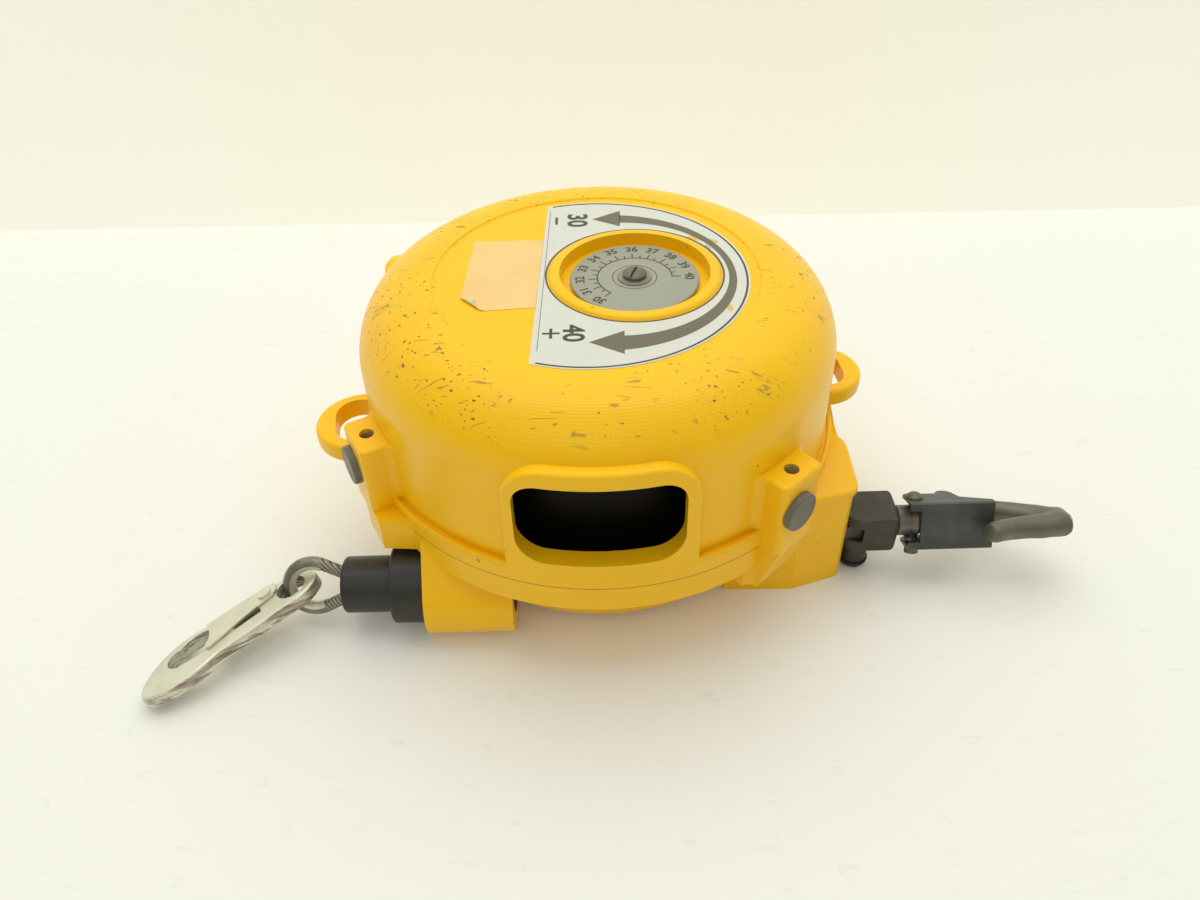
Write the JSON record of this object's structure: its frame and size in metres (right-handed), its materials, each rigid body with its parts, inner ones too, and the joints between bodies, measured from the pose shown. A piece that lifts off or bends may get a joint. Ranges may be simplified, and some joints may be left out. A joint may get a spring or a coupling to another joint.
{
  "type": "spring balancer",
  "caption": "Spring balancer for a hand tool: round two-part housing with a rope drum and power spring inside, a swivelling suspension hook and a snap hook on the wire rope.",
  "frame": {"origin": "where the drum axis meets the plane of the rear boss that the housing lies on", "axes": "+Z from the rear face up to the dial, +X towards the suspension hook, the wire rope leaves along -X"},
  "size_m": [0.4437, 0.2521, 0.1448],
  "materials": {
    "yellow_enamel": "satin gloss",
    "black_oxide": "black oxide",
    "grey_plug": "matt",
    "white_card": "laminated",
    "peach_sticker": "matt",
    "guide_plastic": "matt",
    "bronze": "machined",
    "spring_steel": "blued",
    "cast_aluminium": "as cast",
    "wire_rope": "galvanised",
    "black_enamel": "gloss",
    "zinc_plate": "bright zinc",
    "bright_steel": "ground",
    "brass": "machined",
    "grey_dial": "satin",
    "black_rubber": "matt",
    "rope_sleeve": "smooth",
    "dark_forged": "blackened",
    "latch_sheet": "blackened"
  },
  "bodies": {
    "housing": {"front_case": "yellow_enamel", "rear_case": "yellow_enamel", "case_screws": "black_oxide", "ear_plugs": "grey_plug", "dial_label": "white_card", "plain_sticker": "peach_sticker", "rope_guide": "guide_plastic", "rear_bush": "bronze", "hanger_tongue": "black_oxide", "tongue_screws": "black_oxide", "hanger_pin": "black_oxide", "pin_spacer": "black_oxide", "pin_clip": "spring_steel"},
    "rotor": {"rope_drum": "cast_aluminium", "rope_turns": "wire_rope", "spring_case": "black_enamel", "spring_cover": "black_enamel", "cover_screws": "zinc_plate", "arbor_bushes": "bronze", "mainspring": "spring_steel"},
    "arbor": {"arbor": "bright_steel", "worm_wheel": "bronze", "drive_pinion": "bright_steel"},
    "worm": {"worm_shaft": "bright_steel", "worm_collar": "bright_steel"},
    "dial": {"dial_gear": "brass", "dial_plate": "grey_dial", "dial_washer": "zinc_plate", "dial_screw": "zinc_plate"},
    "rope_end": {"rope_run": "wire_rope", "rope_ferrule": "cast_aluminium", "rubber_stopper": "black_rubber", "rope_eye": "rope_sleeve", "thimble": "zinc_plate"},
    "snap": {"snap_body": "zinc_plate", "gate_rivet": "zinc_plate"},
    "gate": {"snap_gate": "zinc_plate"},
    "block": {"swivel_block": "black_oxide"},
    "hook": {"suspension_hook": "dark_forged", "latch_rivet": "dark_forged"},
    "latch": {"latch": "latch_sheet", "latch_spring": "spring_steel"}
  },
  "joints": [
    {"name": "drum_spin", "type": "hinge", "parent": "housing", "child": "rotor", "pos_m": [0, 0, 0.05], "axis": [0, 0, -1], "range_deg": [0, 1010], "stiffness_Nm_per_rad": 0.2, "springref_deg": -114.59},
    {"name": "rope_travel", "type": "slide", "parent": "housing", "child": "rope_end", "axis": [-1, 0, 0], "range_m": [0, 1.5]},
    {"name": "arbor_turn", "type": "hinge", "parent": "housing", "child": "arbor", "pos_m": [0, 0, 0.1], "axis": [0, 0, 1], "range_deg": [0, 460]},
    {"name": "dial_turn", "type": "hinge", "parent": "housing", "child": "dial", "pos_m": [0.018, 0, 0.14], "axis": [0, 0, 1], "range_deg": [-230, 0]},
    {"name": "worm_spin", "type": "hinge", "parent": "housing", "child": "worm", "pos_m": [0, 0.044, 0.1165], "axis": [1, 0, 0], "range_deg": [0, 18400]},
    {"name": "hook_swing", "type": "hinge", "parent": "housing", "child": "block", "pos_m": [0.128, -0.053, 0.029], "axis": [0, 0, 1], "range_deg": [-30, 30]},
    {"name": "hook_swivel", "type": "hinge", "parent": "block", "child": "hook", "pos_m": [0.15, -0.053, 0.029], "axis": [1, 0, 0], "continuous": true},
    {"name": "latch_swing", "type": "hinge", "parent": "hook", "child": "latch", "pos_m": [0.1545, -0.0539, 0.02942], "axis": [0, 0.4226, 0.9063], "range_deg": [0, 22], "stiffness_Nm_per_rad": 0.03, "springref_deg": -28.65},
    {"name": "snap_swing", "type": "hinge", "parent": "rope_end", "child": "snap", "pos_m": [-0.14967, -0.08224, 0.02133], "axis": [-0.3208, 0.0906, 0.9428], "range_deg": [-30, 30]},
    {"name": "snap_gate_swing", "type": "hinge", "parent": "snap", "child": "gate", "pos_m": [-0.16249, -0.08359, 0.0171], "axis": [-0.3208, 0.0906, 0.9428], "range_deg": [0, 16], "stiffness_Nm_per_rad": 0.01, "springref_deg": -22.92}
  ],
  "couplings": [
    {"joint": "rope_travel", "follows": "drum_spin", "m_per_rad": 0.085},
    {"joint": "dial_turn", "follows": "arbor_turn", "ratio": -0.5},
    {"joint": "worm_spin", "follows": "arbor_turn", "ratio": 40}
  ]
}
